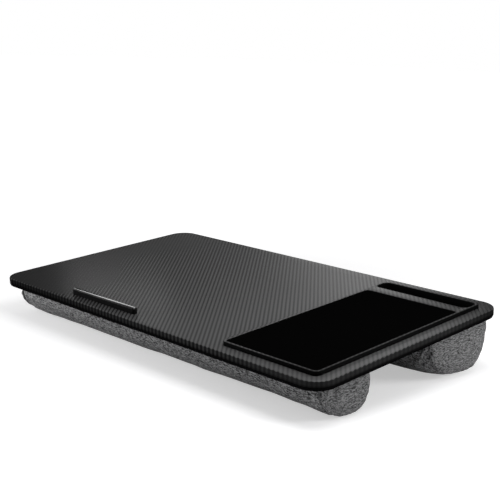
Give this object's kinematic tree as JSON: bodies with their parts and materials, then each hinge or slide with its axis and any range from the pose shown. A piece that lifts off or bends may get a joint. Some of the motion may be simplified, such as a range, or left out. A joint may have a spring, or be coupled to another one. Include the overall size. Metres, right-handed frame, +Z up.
{
  "type": "lap desk tray",
  "caption": "Flat rectangular lap tray with a raised mouse platform, a phone slot, a low laptop ledge and cloth cushions under its front and back edges.",
  "frame": {"origin": "on the surface that the cushions stand on, under the middle of the tray", "axes": "+X to the user's right along the board, +Y away from the user, +Z up; the board leans 5 degrees towards the user"},
  "size_m": [0.536, 0.3044, 0.0773],
  "materials": {
    "board_core": "black fibreboard, painted edge",
    "printed_foil": "satin foil printed with a woven carbon look",
    "platform_plastic": "satin moulded plastic",
    "pad_cloth": "matte black mouse pad cloth",
    "screw_steel": "zinc plated",
    "ledge_plastic": "gloss moulded plastic",
    "backing_cloth": "black non-woven cloth",
    "heather_cloth": "heather grey woven polyester",
    "foam": "soft foam filling"
  },
  "bodies": {
    "root": {"board_core": "board_core", "board_foil": "printed_foil", "accessory_platform": "platform_plastic", "mouse_pad": "pad_cloth", "platform_screw_1": "screw_steel", "platform_screw_2": "screw_steel", "platform_screw_3": "screw_steel", "platform_screw_4": "screw_steel", "device_ledge": "ledge_plastic", "cushion_backing": "backing_cloth", "front_cushion_cover": "heather_cloth", "front_cushion_end_left": "heather_cloth", "front_cushion_end_right": "heather_cloth", "front_cushion_foam": "foam", "back_cushion_cover": "heather_cloth", "back_cushion_end_left": "heather_cloth", "back_cushion_end_right": "heather_cloth", "back_cushion_foam": "foam"}
  },
  "joints": []
}
